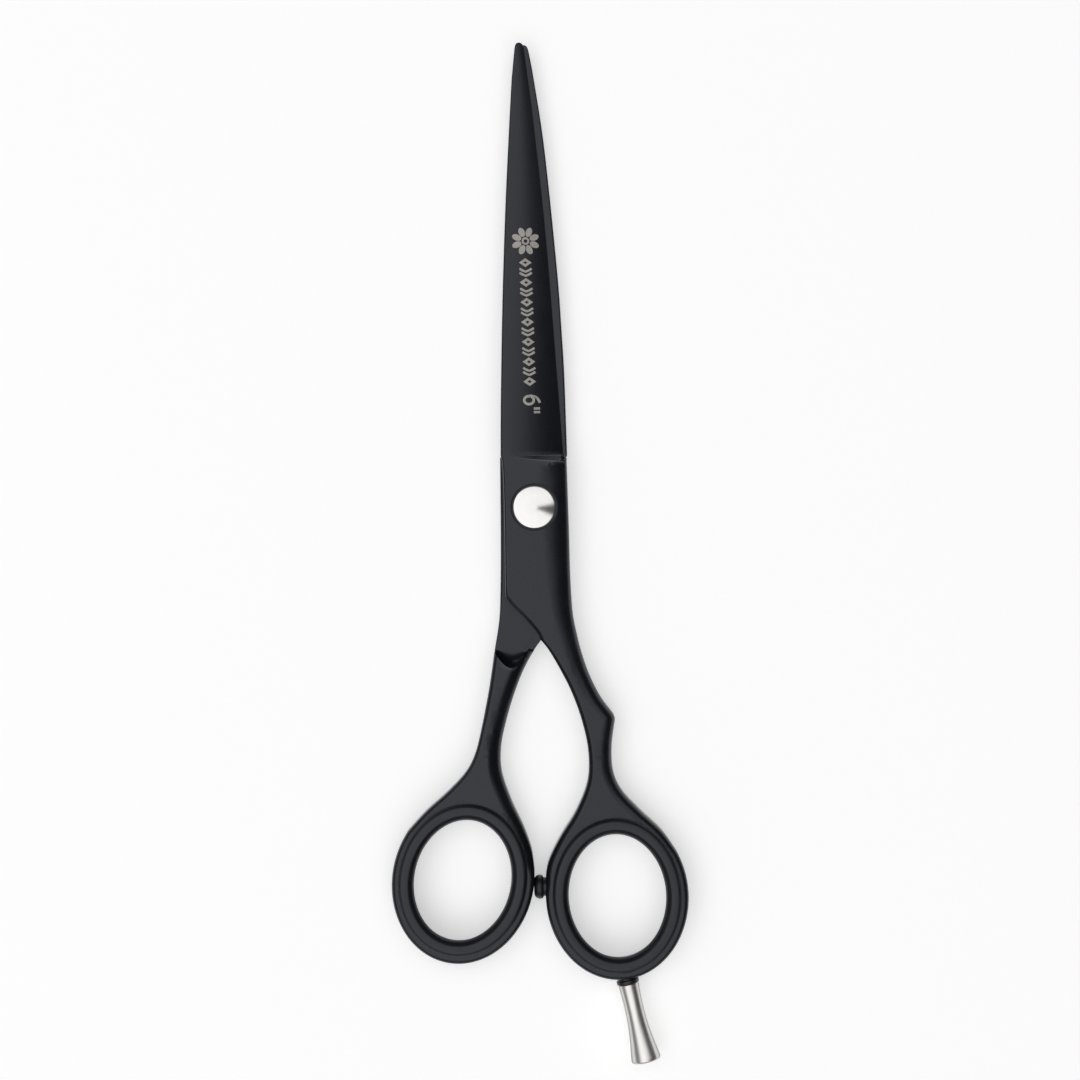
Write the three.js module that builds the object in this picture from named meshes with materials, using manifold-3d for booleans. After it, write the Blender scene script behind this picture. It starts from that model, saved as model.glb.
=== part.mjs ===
// Hair cutting shears: two crossed halves on a screwed pivot, ring inserts, a bumper and a finger rest.
// Millimetres, +Z up. The shears lie closed on a flat surface at Z = 0, with their tips towards +Y.
// The pivot axis is the Z axis. The finger half is the upper one; the thumb half turns about the pivot.
import * as THREE from "three";
import { mergeVertices } from "three/addons/utils/BufferGeometryUtils.js";
import Module from "manifold-3d";

const wasm = await Module();
wasm.setup();

// Heights
const RIDE_PLANE = 3.5; // the plane in which the two halves meet
const RIDE_GAP = 0.1; // clearance between the two flat inner faces
const PLATE_THICKNESS = 2.75; // of each half at the pivot
const HANDLE_THICKNESS = 5; // of shanks and rings
const HANDLE_BEVEL = 0.9;
const INSERT_HEIGHT = 7;
const CLEARANCE = 0.05; // between pieces that fit into each other

const FRONT_INNER = RIDE_PLANE + RIDE_GAP / 2;
const REAR_INNER = RIDE_PLANE - RIDE_GAP / 2;
const PLATE_TOP = FRONT_INNER + PLATE_THICKNESS;
const PLATE_BOTTOM = REAR_INNER - PLATE_THICKNESS;
const HANDLE_TOP = RIDE_PLANE + HANDLE_THICKNESS / 2;
const HANDLE_BOTTOM = RIDE_PLANE - HANDLE_THICKNESS / 2;

// Blades
const GRIND_RADIUS = 24; // of the convex outer face
const RICASSO_Y = 8.4; // where the ground blade ends and the flat around the pivot starts
const BLADE_TIP_Y = 75.5;
const SPINE_THICKNESS = { base: 2.65, tip: 1.0 };
const EDGE_THICKNESS = 0.25;

// Rings: centre, half width across the short axis, long to short ratio, and turn about Z in degrees
const THUMB_RING = { x: -13.1, y: -59.97, radius: 11.47, ratio: 1.187, lean: -12.5 };
const FINGER_RING = { x: 11.75, y: -63.26, radius: 11.55, ratio: 1.17, lean: 2 };
const RING_BORE_RADIUS = 9.2;
const INSERT_FLANGE_RADIUS = 10.35;
const INSERT_LIP_RADIUS = 8.25;
const INSERT_HOLE_RADIUS = 7.8;
const INSERT_FLANGE_HEIGHT = 0.95;
const RING_SIDES = 48;

// Pivot
const HEAD_RADIUS = 3.4;
const HEAD_RECESS = { radius: 3.7, depth: 0.8 };
const HEAD_DOME = 0.75; // of the head above the upper half
const NECK_RADIUS = 2.4;
const NECK_FLAT = 1.9; // from the axis to each flat of the neck
const SHANK_RADIUS = 2;
const SHANK_END = 0.3; // height of the bolt's lower end
const SHANK_FLAT = 1.65; // from the axis to each flat at the threaded end
const BUSH_RADIUS = 2.7;
const GLIDE_WASHER = { radius: 4.1, thickness: 0.5, sunk: 0.45 };
const NUT = { radius: 4.4, proud: 0.65, hubRadius: 3.6, hubHeight: 0.2, notches: 16, notchRadius: 0.4 };
const NUT_POCKET = { radius: 3.9, depth: 0.95 };
const SPRING_THICKNESS = 0.25;
const SPRING = { radius: 2.9, length: 7, earWidth: 1.8 };
const SEAT_WASHER_THICKNESS = 0.3;
const SPRING_TOP = PLATE_BOTTOM + NUT_POCKET.depth - 2 * CLEARANCE - SEAT_WASHER_THICKNESS;

// Bumper, on the side of the finger ring that faces the thumb ring
const BUMPER = { y: -61.6, radius: 1.95, tipX: -1.6, baseX: 0.12, studRadius: 0.75, studDepth: 1.3 };

// Finger rest, screwed into the end of the finger ring
const REST_BASE = { x: 13.25, y: -77.8 }; // where the rest meets its washer
const REST_LEAN = 11.7; // from -Y towards +X, in degrees
const REST_LENGTH = 12.7;
const REST_START_RADIUS = 1.7;
const REST_WAIST_RADIUS = 1.64;
const REST_END_RADIUS = 2.38;
const REST_WASHER = { radius: 1.75, neckRadius: 1.5, height: 0.9 };
const REST_STUD = { radius: 0.95, inRing: 2.9, inRest: 4 };

const ROUND_SIDES = 40;
const SMALL_SIDES = 24;

const coated = { color: 0x24262b, roughness: 0.55, metalness: 0.6 };
const steel = { color: 0xc9c8c6, roughness: 0.28, metalness: 1 };
const chrome = { color: 0xe6e6e8, roughness: 0.12, metalness: 1 };
const softRubber = { color: 0x17181a, roughness: 0.8, metalness: 0 };
const nylon = { color: 0xe9e6dc, roughness: 0.5, metalness: 0 };
const blackMetal = { color: 0x151618, roughness: 0.45, metalness: 0.7 };

// A closed geometry as a solid for cutting and joining.
function solid(geometry) {
  const bare = geometry.index ? geometry.toNonIndexed() : geometry.clone();
  bare.deleteAttribute("normal");
  bare.deleteAttribute("uv");
  const merged = mergeVertices(bare, 1e-4);
  return new wasm.Manifold(
    new wasm.Mesh({
      numProp: 3,
      vertProperties: merged.attributes.position.array,
      triVerts: new Uint32Array(merged.index.array),
    }),
  );
}

// A named mesh from a solid.
function piece(name, shape, finish) {
  const { vertProperties, triVerts } = shape.getMesh();
  const geometry = new THREE.BufferGeometry();
  geometry.setAttribute("position", new THREE.BufferAttribute(vertProperties, 3));
  geometry.setIndex(new THREE.BufferAttribute(triVerts, 1));
  geometry.computeVertexNormals();
  const mesh = new THREE.Mesh(geometry, new THREE.MeshStandardMaterial(finish));
  mesh.name = name;
  return mesh;
}

// A profile of [radius, height] points turned about the Z axis.
function turned(profile, sides) {
  const points = profile.map(([radius, height]) => new THREE.Vector2(radius, height));
  return new THREE.LatheGeometry(points, sides).rotateX(Math.PI / 2);
}

// A disc or rod about the Z axis, from one height to another.
function disc(radius, bottom, top, sides = ROUND_SIDES) {
  const height = top - bottom;
  return new THREE.CylinderGeometry(radius, radius, height, sides)
    .rotateX(Math.PI / 2)
    .translate(0, 0, bottom + height / 2);
}

// A flat washer about the Z axis.
function washer(outer, inner, bottom, top) {
  const ring = [
    [inner, bottom],
    [outer, bottom],
    [outer, top],
    [inner, top],
    [inner, bottom],
  ];
  return turned(ring, ROUND_SIDES);
}

// An outline made of smooth stretches, each joined to the next by a straight line.
function outline(...stretches) {
  const shape = new THREE.Shape();
  shape.moveTo(...stretches[0][0]);
  for (const stretch of stretches) {
    shape.lineTo(...stretch[0]);
    if (stretch.length > 2) {
      shape.splineThru(stretch.slice(1).map(([x, y]) => new THREE.Vector2(x, y)));
    } else if (stretch.length === 2) {
      shape.lineTo(...stretch[1]);
    }
  }
  return shape;
}

// An outline raised from one height to another, with square edges.
function plate(shape, bottom, top) {
  const settings = { depth: top - bottom, bevelEnabled: false, curveSegments: 2 };
  return new THREE.ExtrudeGeometry(shape, settings).translate(0, 0, bottom);
}

// An outline raised to the full handle thickness, with its long edges bevelled inside the outline.
function bevelledHandle(shape) {
  const settings = {
    depth: HANDLE_THICKNESS - 2 * HANDLE_BEVEL,
    bevelThickness: HANDLE_BEVEL,
    bevelSize: HANDLE_BEVEL,
    bevelOffset: -HANDLE_BEVEL,
    bevelSegments: 2,
    curveSegments: 1,
  };
  return new THREE.ExtrudeGeometry(shape, settings).translate(0, 0, HANDLE_BOTTOM + HANDLE_BEVEL);
}

// Mirrors outline points in the plane through the pivot axis and the tips.
const mirrored = (points) => points.map(([x, y]) => [-x, y]);

// Turns a round shape about Z into a ring's ellipse, in its place.
function onRing(geometry, ring) {
  return geometry
    .scale(1, ring.ratio, 1)
    .rotateZ(THREE.MathUtils.degToRad(ring.lean))
    .translate(ring.x, ring.y, 0);
}

// The metal of a ring, rounded along its outer edges.
function ringBody(ring) {
  const inner = RING_BORE_RADIUS - 0.5;
  const section = [
    [inner, HANDLE_BOTTOM],
    [ring.radius - 0.8, HANDLE_BOTTOM],
    [ring.radius - 0.25, HANDLE_BOTTOM + 0.5],
    [ring.radius, HANDLE_BOTTOM + 1.4],
    [ring.radius, HANDLE_TOP - 1.4],
    [ring.radius - 0.25, HANDLE_TOP - 0.5],
    [ring.radius - 0.8, HANDLE_TOP],
    [inner, HANDLE_TOP],
    [inner, HANDLE_BOTTOM],
  ];
  return solid(onRing(turned(section, RING_SIDES), ring));
}

// The hole in a metal ring that the insert fills.
function ringBore(ring) {
  return solid(onRing(disc(RING_BORE_RADIUS, HANDLE_BOTTOM - 1, HANDLE_TOP + 1, RING_SIDES), ring));
}

// A soft insert: a sleeve in the ring's bore with a rounded flange over each face.
function ringInsert(ring) {
  const top = INSERT_HEIGHT;
  const under = INSERT_HEIGHT - INSERT_FLANGE_HEIGHT;
  const sleeve = RING_BORE_RADIUS - CLEARANCE;
  const half = [
    [INSERT_HOLE_RADIUS, top - 2],
    [INSERT_LIP_RADIUS, top - 0.5],
    [INSERT_LIP_RADIUS + 0.45, top],
    [INSERT_FLANGE_RADIUS - 0.5, top],
    [INSERT_FLANGE_RADIUS, top - 0.4],
    [INSERT_FLANGE_RADIUS, under],
    [sleeve, under],
  ];
  const otherHalf = half.map(([radius, height]) => [radius, INSERT_HEIGHT - height]).reverse();
  const section = [...half, ...otherHalf, half[0]].reverse();
  return solid(onRing(turned(section, RING_SIDES), ring));
}

// The convex outer face of a blade: a long cylinder through its spine and its cutting edge.
function convexFace(spineBase, spineTip, edgeBase, edgeTip) {
  const centre = (spine, edge) => {
    const chord = new THREE.Vector2(edge.x - spine.x, edge.z - spine.z);
    const sag = Math.sqrt(GRIND_RADIUS ** 2 - chord.lengthSq() / 4);
    const inward = new THREE.Vector2(chord.y, -chord.x).normalize().multiplyScalar(sag);
    return new THREE.Vector3((spine.x + edge.x) / 2 + inward.x, spine.y, (spine.z + edge.z) / 2 + inward.y);
  };
  const base = centre(spineBase, edgeBase);
  const tip = centre(spineTip, edgeTip);
  const along = tip.clone().sub(base);
  const cylinder = new THREE.CylinderGeometry(GRIND_RADIUS, GRIND_RADIUS, along.length() * 1.2, 120);
  const turn = new THREE.Quaternion().setFromUnitVectors(
    new THREE.Vector3(0, 1, 0),
    along.clone().normalize(),
  );
  const middle = base.add(tip).multiplyScalar(0.5);
  return solid(cylinder.applyQuaternion(turn).translate(middle.x, middle.y, middle.z));
}

// The upper blade, between its spine and its cutting edge, ground convex outside.
function blade(spine, edge) {
  const spineStart = spine[0];
  const spineEnd = spine.at(-1);
  const tip = [
    [spineEnd[0] + 0.15, BLADE_TIP_Y - 0.15],
    [spineEnd[0] + 0.5, BLADE_TIP_Y],
    [edge[0][0] - 0.25, BLADE_TIP_Y - 0.2],
  ];
  const heel = [
    [edge.at(-1)[0], RICASSO_Y - 1],
    [spineStart[0], RICASSO_Y - 1],
  ];
  const body = solid(plate(outline(spine, tip, edge, heel), FRONT_INNER, PLATE_TOP));
  const at = ([x, y], thickness) => new THREE.Vector3(x, y, FRONT_INNER + thickness);
  const face = convexFace(
    at(spineStart, SPINE_THICKNESS.base),
    at(spineEnd, SPINE_THICKNESS.tip),
    at(edge.at(-1), EDGE_THICKNESS),
    at(edge[0], EDGE_THICKNESS),
  );
  return body.intersect(face);
}

// The lower blade is an upper blade turned over about the Y axis.
function turnedOver(shape) {
  return shape.rotate([0, 180, 0]).translate([0, 0, 2 * RIDE_PLANE]);
}

// Outline points of the finger half, from its spine on the left to its shank on the right.
const FINGER_SPINE = [
  [-5.17, RICASSO_Y],
  [-4.9, 17.6],
  [-4.21, 33.8],
  [-3.26, 50],
  [-1.99, 66.2],
  [-0.95, 75],
];
const FINGER_EDGE = [
  [0.2, 74.8],
  [1.45, 62.9],
  [3.04, 43.4],
  [4.46, 17.3],
  [4.85, RICASSO_Y],
];
const FINGER_PIVOT_OUTER = [
  [8.5, -28.3],
  [6.86, -23.4],
  [6.14, -20.1],
  [5.65, -16.8],
  [5.44, -11],
  [5.4, RICASSO_Y],
];
const FINGER_PIVOT_LEFT = [
  [-5.17, RICASSO_Y],
  [-4.75, RICASSO_Y - 1.4],
  [-4.75, -1],
  [-4.95, -12.9],
];
const FINGER_CROTCH = [
  [-4.6, -13.9],
  [0.5, -21.74],
];
const FINGER_SHANK_INNER = [
  [0.5, -21.74],
  [1.81, -23.2],
  [4.51, -28.2],
];
const FINGER_OUTER = [
  [6.7, -22.8],
  [8.5, -28.3],
  [10.2, -31.6],
  [11.9, -33.9],
  [12.05, -34.9],
  [11.45, -38.5],
  [11.54, -43],
  [12.9, -46.3],
  [17.6, -51.3],
  [21.4, -56.4],
];
const FINGER_INNER = [
  [1.1, -57],
  [3.5, -52.5],
  [6.43, -47.7],
  [7.8, -42.9],
  [7.26, -36.4],
  [5.2, -29.8],
  [1.7, -22.9],
];

// Outline points of the thumb half, on the same lines as the finger half's.
const THUMB_SPINE = [
  [5.45, RICASSO_Y],
  [5.3, 21],
  [4.6, 38.5],
  [3.12, 58],
  [1.74, 69.4],
  [1.05, 74],
];
const THUMB_EDGE = [
  [0.1, 74.2],
  [-1.2, 62.9],
  [-2.75, 43.4],
  [-4.15, 17.3],
  [-4.5, RICASSO_Y],
];
const THUMB_PIVOT_OUTER = [
  [-7.85, -28.3],
  [-6.96, -23],
  [-6.11, -18.2],
  [-5.77, -13.3],
  [-5.4, -3.5],
  [-5.25, RICASSO_Y],
];
const THUMB_PIVOT_RIGHT = [
  [5.3, RICASSO_Y],
  [5.1, -1],
  [4.9, -12.9],
];
const THUMB_CROTCH = [
  [4.6, -13.9],
  [0.5, -21.74],
];
const THUMB_SHANK_INNER = [
  [0.5, -21.74],
  [-0.75, -23.2],
  [-3.35, -28],
];
const THUMB_OUTER = [
  [-6.9, -22.8],
  [-7.85, -28.3],
  [-9.12, -34.3],
  [-10.41, -39.2],
  [-12.02, -42.4],
  [-16.84, -47.1],
  [-21.65, -51.9],
];
const THUMB_INNER = [
  [-1.6, -57],
  [-3.64, -50.7],
  [-6.25, -44.1],
  [-6.5, -38.5],
  [-4.56, -31.2],
  [-1.4, -23.6],
];

// The flat part of a half around the pivot, as an upper half.
function pivotPlate(...stretches) {
  return solid(plate(outline(...stretches), FRONT_INNER, PLATE_TOP));
}

// Shank and ring of a half, with the scoop where the full thickness starts.
function handle(outer, inner, ring, scoopX, scoopBottom, scoopTop) {
  const shank = solid(bevelledHandle(outline(outer, inner)));
  const scoop = solid(disc(2.7, scoopBottom, scoopTop).translate(scoopX, -23, 0));
  return shank.add(ringBody(ring)).subtract(scoop).subtract(ringBore(ring));
}

// A round bar with two flats, as the neck and the end of the bolt have, and the holes keyed to them.
function neck(radius, flat, bottom, top) {
  const bar = solid(disc(radius, bottom, top));
  const flats = new THREE.BoxGeometry(2 * flat, 4 * radius, 4 * (top - bottom));
  return bar.intersect(solid(flats.translate(0, 0, (bottom + top) / 2)));
}

// Places a shape made about the Z axis onto the axis of the finger rest, base at the origin.
function onRestAxis(geometry) {
  return geometry
    .rotateX(Math.PI / 2)
    .rotateZ(THREE.MathUtils.degToRad(REST_LEAN))
    .translate(REST_BASE.x, REST_BASE.y, RIDE_PLANE);
}

// Places a shape made about the Z axis onto the bumper's axis, pointing towards +X from a given X.
function onBumperAxis(geometry, x) {
  return geometry.rotateY(Math.PI / 2).translate(x, BUMPER.y, RIDE_PLANE);
}

function fingerHalf() {
  const below = HANDLE_BOTTOM - 1;
  const body = blade(FINGER_SPINE, FINGER_EDGE)
    .add(pivotPlate(FINGER_PIVOT_LEFT, FINGER_CROTCH, FINGER_SHANK_INNER, FINGER_PIVOT_OUTER))
    .add(handle(FINGER_OUTER, FINGER_INNER, FINGER_RING, 4.2, below, FRONT_INNER));
  const recess = solid(disc(HEAD_RECESS.radius, PLATE_TOP - HEAD_RECESS.depth, PLATE_TOP + 1));
  const neckHole = neck(
    NECK_RADIUS + CLEARANCE,
    NECK_FLAT + CLEARANCE,
    FRONT_INNER - 1,
    PLATE_TOP - HEAD_RECESS.depth + 0.1,
  );
  const bumperHole = solid(
    onBumperAxis(disc(BUMPER.studRadius + CLEARANCE, 0, BUMPER.studDepth + 0.5, SMALL_SIDES), 0),
  );
  const restHole = solid(
    onRestAxis(disc(REST_STUD.radius + CLEARANCE, -REST_STUD.inRing - 0.5, 0, SMALL_SIDES)),
  );
  return body.subtract(recess).subtract(neckHole).subtract(bumperHole).subtract(restHole);
}

function thumbHalf() {
  const asUpper = blade(mirrored(THUMB_SPINE), mirrored(THUMB_EDGE)).add(
    pivotPlate(
      mirrored(THUMB_PIVOT_RIGHT),
      mirrored(THUMB_CROTCH),
      mirrored(THUMB_SHANK_INNER),
      mirrored(THUMB_PIVOT_OUTER),
    ),
  );
  const above = HANDLE_TOP + 1;
  const body = turnedOver(asUpper).add(
    handle(THUMB_OUTER, THUMB_INNER, THUMB_RING, -4.2, REAR_INNER, above),
  );
  const washerPocket = disc(GLIDE_WASHER.radius + CLEARANCE, REAR_INNER - GLIDE_WASHER.sunk, REAR_INNER + 1);
  const bushHole = disc(BUSH_RADIUS + CLEARANCE, 0, REAR_INNER);
  const nutPocket = disc(NUT_POCKET.radius, 0, PLATE_BOTTOM + NUT_POCKET.depth);
  return body.subtract(solid(washerPocket)).subtract(solid(bushHole)).subtract(solid(nutPocket));
}

// Domed head in the finger half's recess, keyed neck, and the shank that the thumb half turns on.
function pivotBolt() {
  const headBase = PLATE_TOP - HEAD_RECESS.depth + CLEARANCE;
  const rim = PLATE_TOP + 0.1;
  const top = PLATE_TOP + HEAD_DOME;
  const dome = [
    [0, headBase],
    [HEAD_RADIUS, headBase],
    [HEAD_RADIUS, rim],
    [HEAD_RADIUS * 0.97, rim + 0.12],
    [HEAD_RADIUS * 0.8, rim + (top - rim) * 0.5],
    [HEAD_RADIUS * 0.45, rim + (top - rim) * 0.88],
    [0, top],
  ];
  const head = solid(turned(dome, ROUND_SIDES));
  const keyed = neck(NECK_RADIUS, NECK_FLAT, RIDE_PLANE + 0.1, headBase + 0.1);
  const radius = SHANK_RADIUS - CLEARANCE;
  const shank = solid(disc(radius, SPRING_TOP + CLEARANCE, RIDE_PLANE + 0.2));
  const end = neck(radius, SHANK_FLAT, SHANK_END, SPRING_TOP + 2 * CLEARANCE);
  return head.add(keyed).add(shank).add(end);
}

function glideWasher() {
  const bottom = REAR_INNER - GLIDE_WASHER.sunk + CLEARANCE;
  return solid(washer(GLIDE_WASHER.radius, SHANK_RADIUS, bottom, bottom + GLIDE_WASHER.thickness - 0.05));
}

function pivotBush() {
  const bottom = PLATE_BOTTOM + NUT_POCKET.depth + CLEARANCE;
  const top = REAR_INNER - GLIDE_WASHER.sunk;
  return solid(washer(BUSH_RADIUS, SHANK_RADIUS, bottom, top - CLEARANCE));
}

// The flat washer in the bottom of the nut's pocket.
function seatWasher() {
  const top = PLATE_BOTTOM + NUT_POCKET.depth - CLEARANCE;
  return solid(washer(NUT_POCKET.radius - 0.1, SHANK_RADIUS, top - SEAT_WASHER_THICKNESS, top));
}

// A leaf spring ring keyed to the bolt, with two ears that click over the nut's inner face.
function clickSpring() {
  const bottom = SPRING_TOP - SPRING_THICKNESS;
  const ring = solid(disc(SPRING.radius, bottom, SPRING_TOP));
  const ears = new THREE.BoxGeometry(SPRING.length, SPRING.earWidth, SPRING_THICKNESS);
  const hole = neck(SHANK_RADIUS, SHANK_FLAT + CLEARANCE, bottom - 1, SPRING_TOP + 1);
  return ring.add(solid(ears.translate(0, 0, (bottom + SPRING_TOP) / 2))).subtract(hole);
}

// The adjusting nut: a notched dial with a hub that reaches into the pocket.
function tensionNut() {
  const dialTop = NUT.proud;
  const hubTop = NUT.proud + NUT.hubHeight;
  const section = [
    [0, 0],
    [NUT.radius - 0.2, 0],
    [NUT.radius, 0.2],
    [NUT.radius, dialTop],
    [NUT.hubRadius, dialTop],
    [NUT.hubRadius, hubTop],
    [0, hubTop],
  ];
  let nut = solid(turned(section, 64));
  for (let i = 0; i < NUT.notches; i += 1) {
    const angle = (2 * Math.PI * i) / NUT.notches;
    const notch = disc(NUT.notchRadius, -1, hubTop + 1, 12);
    notch.translate(NUT.radius * 1.02 * Math.cos(angle), NUT.radius * 1.02 * Math.sin(angle), 0);
    nut = nut.subtract(solid(notch));
  }
  return nut.subtract(solid(disc(SHANK_RADIUS, 0.25, hubTop + 1)));
}

function bumperCap() {
  const length = BUMPER.baseX - BUMPER.tipX;
  const section = [
    [0, 0],
    [1.1, 0.08],
    [1.6, 0.35],
    [BUMPER.radius - 0.05, 0.85],
    [BUMPER.radius, length],
    [BUMPER.studRadius + CLEARANCE, length],
    [BUMPER.studRadius + CLEARANCE, length * 0.45],
    [0, length * 0.45],
  ];
  return solid(onBumperAxis(turned(section, SMALL_SIDES), BUMPER.tipX));
}

function bumperStud() {
  const start = BUMPER.tipX + (BUMPER.baseX - BUMPER.tipX) * 0.45 + CLEARANCE;
  const stud = disc(BUMPER.studRadius, 0, BUMPER.studDepth - start, SMALL_SIDES);
  return solid(onBumperAxis(stud, start));
}

// Heights along the rest's axis grow away from the ring: the rest starts at 0.
function fingerRest() {
  const section = [
    [0, 0],
    [REST_START_RADIUS, 0],
    [REST_WAIST_RADIUS, REST_LENGTH * 0.17],
    [REST_WAIST_RADIUS, REST_LENGTH * 0.35],
    [REST_START_RADIUS + 0.03, REST_LENGTH * 0.5],
    [REST_END_RADIUS * 0.8, REST_LENGTH * 0.66],
    [REST_END_RADIUS * 0.9, REST_LENGTH * 0.82],
    [REST_END_RADIUS, REST_LENGTH - 0.5],
    [REST_END_RADIUS - 0.08, REST_LENGTH - 0.15],
    [REST_END_RADIUS - 0.35, REST_LENGTH],
    [0, REST_LENGTH],
  ];
  const body = solid(onRestAxis(turned(section, ROUND_SIDES)));
  const hole = disc(REST_STUD.radius + CLEARANCE, -1, REST_STUD.inRest + CLEARANCE, SMALL_SIDES);
  return body.subtract(solid(onRestAxis(hole)));
}

function fingerRestStud() {
  return solid(onRestAxis(disc(REST_STUD.radius, -REST_STUD.inRing, REST_STUD.inRest, SMALL_SIDES)));
}

function fingerRestWasher() {
  const section = [
    [REST_STUD.radius + CLEARANCE, -REST_WASHER.height],
    [REST_WASHER.neckRadius, -REST_WASHER.height],
    [REST_WASHER.neckRadius, -REST_WASHER.height * 0.6],
    [REST_WASHER.radius, -REST_WASHER.height * 0.45],
    [REST_WASHER.radius, -CLEARANCE],
    [REST_STUD.radius + CLEARANCE, -CLEARANCE],
    [REST_STUD.radius + CLEARANCE, -REST_WASHER.height],
  ];
  return solid(onRestAxis(turned(section, SMALL_SIDES)));
}

const shears = new THREE.Group();
shears.add(
  piece("finger_half", fingerHalf(), coated),
  piece("thumb_half", thumbHalf(), coated),
  piece("pivot_bolt", pivotBolt(), chrome),
  piece("glide_washer", glideWasher(), nylon),
  piece("pivot_bush", pivotBush(), nylon),
  piece("seat_washer", seatWasher(), steel),
  piece("click_spring", clickSpring(), steel),
  piece("tension_nut", tensionNut(), chrome),
  piece("finger_ring_insert", ringInsert(FINGER_RING), softRubber),
  piece("thumb_ring_insert", ringInsert(THUMB_RING), softRubber),
  piece("bumper_cap", bumperCap(), softRubber),
  piece("bumper_stud", bumperStud(), steel),
  piece("finger_rest", fingerRest(), steel),
  piece("finger_rest_stud", fingerRestStud(), steel),
  piece("finger_rest_washer", fingerRestWasher(), blackMetal),
);

export default shears;
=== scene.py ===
import math

import bpy
import numpy as np
from mathutils import Matrix, Vector
from mathutils.geometry import delaunay_2d_cdt
from mathutils.kdtree import KDTree


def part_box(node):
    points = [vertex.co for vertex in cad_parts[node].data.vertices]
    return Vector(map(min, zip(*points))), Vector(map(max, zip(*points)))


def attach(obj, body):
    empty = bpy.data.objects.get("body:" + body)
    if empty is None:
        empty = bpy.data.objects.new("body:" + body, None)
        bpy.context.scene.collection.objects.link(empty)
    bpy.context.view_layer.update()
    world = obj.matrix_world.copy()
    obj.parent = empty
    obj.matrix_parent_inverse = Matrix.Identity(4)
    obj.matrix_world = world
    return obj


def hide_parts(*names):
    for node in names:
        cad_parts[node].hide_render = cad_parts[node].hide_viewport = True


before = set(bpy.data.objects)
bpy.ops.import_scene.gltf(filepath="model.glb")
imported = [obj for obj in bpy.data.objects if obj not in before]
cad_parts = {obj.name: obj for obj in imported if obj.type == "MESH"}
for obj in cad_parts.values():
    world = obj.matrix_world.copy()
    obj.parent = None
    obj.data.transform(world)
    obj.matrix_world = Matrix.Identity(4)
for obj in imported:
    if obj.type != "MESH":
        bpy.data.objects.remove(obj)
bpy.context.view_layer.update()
MM = 0.001


def extent(node):
    """Lowest and highest corner of a CAD node, in millimetres."""
    low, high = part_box(node)
    return low / MM, high / MM


# Heights, from the frame
finger_low, finger_high = extent("finger_half")
thumb_low, thumb_high = extent("thumb_half")
bolt_low, bolt_high = extent("pivot_bolt")
PLATE_TOP = finger_high.z
HANDLE_TOP = thumb_high.z
HANDLE_BOTTOM = finger_low.z
RIDE_PLANE = (finger_high.z + thumb_low.z) / 2
INNER = RIDE_PLANE + 0.05  # the flat inner face of the upper half
INSERT_TOP = extent("finger_ring_insert")[1].z
HEAD_TOP = bolt_high.z
HEAD_RADIUS = bolt_high.x
HEAD_RIM = HEAD_TOP - 0.42

# Blades
HEEL_Y = 8.4  # where the ground blade starts
TIP_Y = 75
SPINE_THICKNESS = (2.72, 0.5)  # at the heel and at the tip
EDGE_THICKNESS = 0.12
GRIND_POWER = 2.0  # how convex the ground face is
HOLLOW_DEPTH = 0.1
RIDE_LINE = 0.7  # flat strip along the cutting edge on the inner face

# Rings and their inserts' flanges: centre, half width, long to short ratio, and turn about Z in degrees
THUMB_RING = {"x": -13.1, "y": -59.97, "radius": 11.47, "ratio": 1.187, "lean": -12.5}
FINGER_RING = {"x": 11.75, "y": -63.26, "radius": 11.55, "ratio": 1.17, "lean": 2}
THUMB_FLANGE = {"x": -13.15, "y": -59.87, "radius": 10.35, "ratio": 1.19, "lean": -12.5}
FINGER_FLANGE = {"x": 11.75, "y": -63.05, "radius": 10.4, "ratio": 1.2, "lean": 2}
BORE_INSET = 1.15  # from the edge of the flange to the bore that it covers

# The hollow in a shank's inner face: the arc of its lip, its start, and its least and greatest width
SCOOP = {"x": 4.25, "y": -25.9, "bend": 0.345, "top": -23.3, "start": -22.7, "width": (0.6, 3.1)}
SCOOP_POWER = 2.6  # how late the hollow climbs to its lip
SHANK_Y = -20  # the shanks lie below this

# Holes about the pivot axis
RECESS_RADIUS = 3.72
RECESS_FLOOR = PLATE_TOP - 0.8
NECK_HOLE = (2.45, 1.95)  # radius, and distance of its flats from the axis
NUT_POCKET = (3.9, PLATE_TOP - 0.95)  # radius and floor, on a half seen from outside
BUSH_HOLE_RADIUS = 2.75
WASHER_POCKET = (4.15, INNER + 0.45)

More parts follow.
